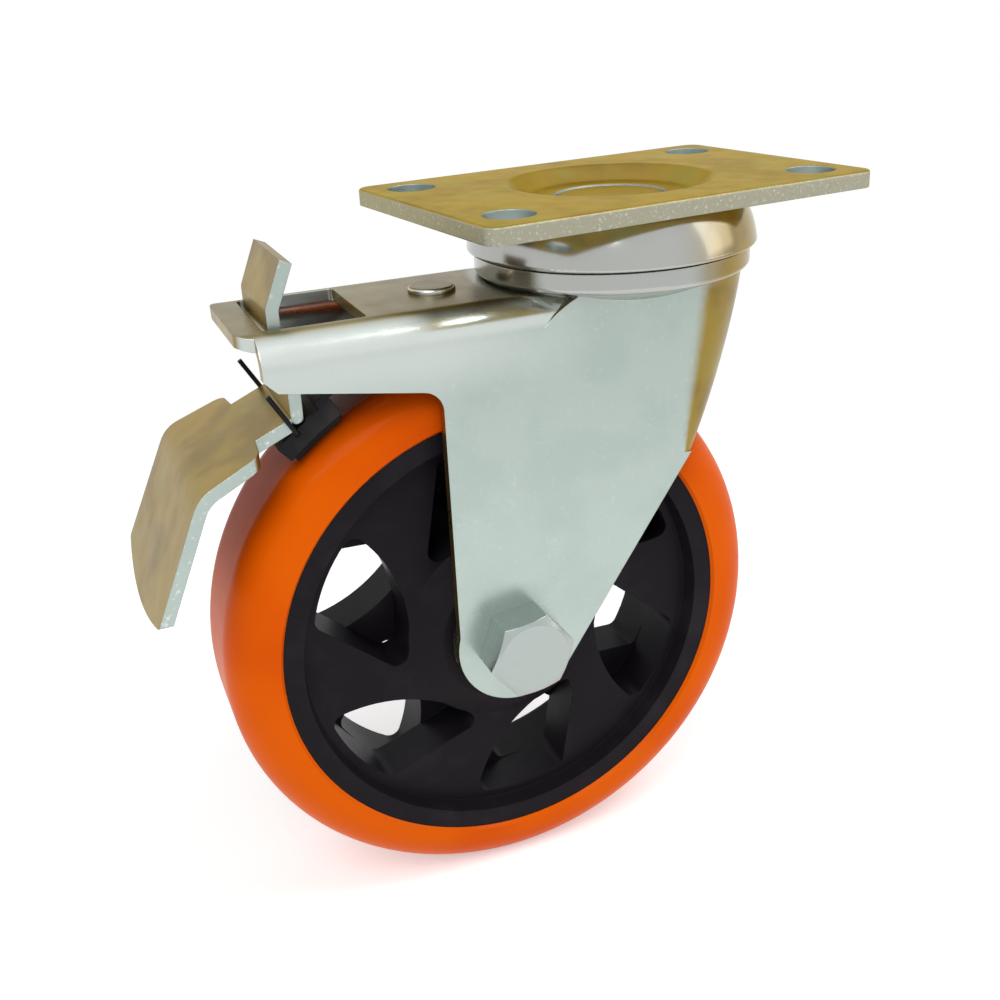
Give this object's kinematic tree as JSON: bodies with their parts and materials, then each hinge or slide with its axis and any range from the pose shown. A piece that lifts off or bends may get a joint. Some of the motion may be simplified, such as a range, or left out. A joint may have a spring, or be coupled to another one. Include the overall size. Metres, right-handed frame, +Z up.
{
  "type": "swivel castor",
  "caption": "Swivel castor with a bolt-on top plate, trailing orange wheel on a black core and a pedal brake with a release tab.",
  "frame": {"origin": "centre of the top plate's upper face, on the kingpin axis", "axes": "+Z up out of the plate, +X along the plate's long side away from the brake"},
  "size_m": [0.1562, 0.0702, 0.1561],
  "materials": {
    "zinc_steel": "zinc plated, satin",
    "bearing_steel": "polished",
    "orange_tread": "glossy cast polyurethane",
    "black_core": "satin moulded plastic",
    "black_steel": "blackened steel",
    "black_rubber": "matte"
  },
  "bodies": {
    "plate": {"top_plate": "zinc_steel", "bearing_cup": "zinc_steel", "kingpin": "zinc_steel", "kingpin_spacer": "zinc_steel", "lower_race": "zinc_steel", "kingpin_nut": "zinc_steel"},
    "swivel": {"fork": "zinc_steel", "arm_rivet": "zinc_steel", "upper_balls": "bearing_steel", "lower_balls": "bearing_steel", "axle_bolt": "zinc_steel", "hex_spacer": "zinc_steel", "axle_sleeve": "zinc_steel", "axle_washer": "zinc_steel", "axle_nut": "zinc_steel", "inner_ring_near": "bearing_steel", "inner_ring_far": "bearing_steel"},
    "wheel": {"tread": "orange_tread", "wheel_core": "black_core", "outer_ring_near": "bearing_steel", "outer_ring_far": "bearing_steel", "wheel_balls_near": "bearing_steel", "wheel_balls_far": "bearing_steel"},
    "shoe": {"shoe_carrier": "black_steel", "brake_shoe": "black_rubber", "return_wire": "black_steel"},
    "lever": {"brake_pedal": "zinc_steel", "release_tab": "zinc_steel"}
  },
  "joints": [
    {"name": "swivel", "type": "hinge", "parent": "plate", "child": "swivel", "pos_m": [0, 0, -0.01], "axis": [0, 0, 1], "continuous": true},
    {"name": "wheel_spin", "type": "hinge", "parent": "swivel", "child": "wheel", "pos_m": [-0.03343, 0.00393, -0.09365], "axis": [0.1167, 0.9932, 0], "continuous": true},
    {"name": "shoe_lift", "type": "hinge", "parent": "swivel", "child": "shoe", "pos_m": [-0.04569, 0.00537, -0.0221], "axis": [0.1167, 0.9932, 0], "range_deg": [0, 2.5]},
    {"name": "pedal_release", "type": "hinge", "parent": "shoe", "child": "lever", "pos_m": [-0.07444, 0.00874, -0.0369], "axis": [0.1167, 0.9932, 0], "range_deg": [0, 30]}
  ],
  "couplings": [
    {"joint": "shoe_lift", "follows": "pedal_release", "ratio": 0.0833}
  ]
}
